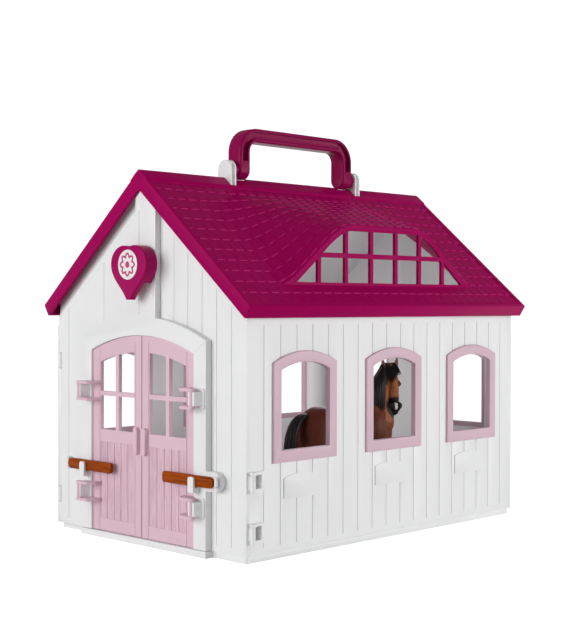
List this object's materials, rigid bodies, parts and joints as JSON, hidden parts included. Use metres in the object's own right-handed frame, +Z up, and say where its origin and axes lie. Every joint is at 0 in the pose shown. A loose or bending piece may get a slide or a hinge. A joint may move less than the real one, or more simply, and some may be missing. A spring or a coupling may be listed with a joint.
{
  "type": "toy horse clinic playset",
  "caption": "Carry-along toy stable with planked walls, arched windows, latched double door in a swinging front, tiled roof with eyebrow dormer and folding carry handle.",
  "frame": {"origin": "middle of the base's underside, on the surface the house stands on", "axes": "+Z up, +Y from the door front to the rear along the ridge, +X to the right seen from the front"},
  "size_m": [0.22, 0.3106, 0.2952],
  "materials": {
    "white_plastic": "satin moulded plastic",
    "roof_crimson": "satin moulded plastic, moulded tiles",
    "heart_crimson": "gloss moulded plastic",
    "pink_plastic": "satin moulded plastic",
    "bar_brown": "moulded wood-look plastic with a fine grain",
    "badge_print": "printed plastic",
    "steel": "plain steel",
    "horse_bay": "painted solid plastic"
  },
  "bodies": {
    "house": {"base_tray": "white_plastic", "dormer_window": "roof_crimson", "front_gable": "white_plastic", "handle_pins": "steel", "left_ceiling": "white_plastic", "left_wall": "white_plastic", "left_window_frame_1": "pink_plastic", "left_window_frame_2": "pink_plastic", "left_window_frame_3": "pink_plastic", "rear_gable": "white_plastic", "rear_window_frame_left": "pink_plastic", "rear_window_frame_right": "pink_plastic", "ridge_beam": "white_plastic", "ridge_screws": "steel", "right_ceiling": "white_plastic", "right_wall": "white_plastic", "right_window_frame_1": "pink_plastic", "right_window_frame_2": "pink_plastic", "right_window_frame_3": "pink_plastic", "roof_shell": "roof_crimson", "toy_horse": "horse_bay"},
    "front_panel": {"front_panel": "white_plastic", "panel_hinge_rod": "steel", "left_latch_pin": "steel", "right_latch_pin": "steel"},
    "left_leaf": {"left_door_leaf": "pink_plastic"},
    "right_leaf": {"right_door_leaf": "pink_plastic"},
    "left_bracket": {"left_latch_bracket": "white_plastic"},
    "right_bracket": {"right_latch_bracket": "white_plastic"},
    "left_bar": {"left_latch_bar": "bar_brown"},
    "right_bar": {"right_latch_bar": "bar_brown"},
    "heart": {"heart_catch": "heart_crimson", "heart_badge": "badge_print", "catch_retainer": "white_plastic"},
    "handle": {"carry_handle": "roof_crimson"}
  },
  "joints": [
    {"name": "front_panel_swing", "type": "hinge", "parent": "house", "child": "front_panel", "pos_m": [-0.0949, -0.1478, 0.075], "axis": [0, 0, -1], "range_deg": [0, 100]},
    {"name": "handle_fold", "type": "hinge", "parent": "house", "child": "handle", "pos_m": [0, -0.0015, 0.264], "axis": [0, 1, 0], "range_deg": [-90, 90]},
    {"name": "heart_turn", "type": "hinge", "parent": "front_panel", "child": "heart", "pos_m": [-0.0005, -0.153, 0.191], "axis": [0, -1, 0], "range_deg": [0, 45]},
    {"name": "left_leaf_swing", "type": "hinge", "parent": "front_panel", "child": "left_leaf", "pos_m": [-0.0607, -0.1569, 0.0683], "axis": [0, 0, -1], "range_deg": [0, 105]},
    {"name": "left_bracket_swing", "type": "hinge", "parent": "front_panel", "child": "left_bracket", "pos_m": [-0.0796, -0.1523, 0.0506], "axis": [0, 0, -1], "range_deg": [0, 105]},
    {"name": "left_bar_lift", "type": "hinge", "parent": "left_bracket", "child": "left_bar", "pos_m": [-0.074, -0.1525, 0.0506], "axis": [0, -1, 0], "range_deg": [0, 90]},
    {"name": "right_leaf_swing", "type": "hinge", "parent": "front_panel", "child": "right_leaf", "pos_m": [0.0607, -0.1569, 0.0683], "axis": [0, 0, 1], "range_deg": [0, 105]},
    {"name": "right_bracket_swing", "type": "hinge", "parent": "front_panel", "child": "right_bracket", "pos_m": [0.0796, -0.1523, 0.0506], "axis": [0, 0, 1], "range_deg": [0, 105]},
    {"name": "right_bar_lift", "type": "hinge", "parent": "right_bracket", "child": "right_bar", "pos_m": [0.074, -0.1525, 0.0506], "axis": [0, 1, 0], "range_deg": [0, 90]}
  ],
  "couplings": [
    {"joint": "left_bracket_swing", "follows": "left_leaf_swing", "ratio": 1},
    {"joint": "right_bracket_swing", "follows": "right_leaf_swing", "ratio": 1}
  ]
}
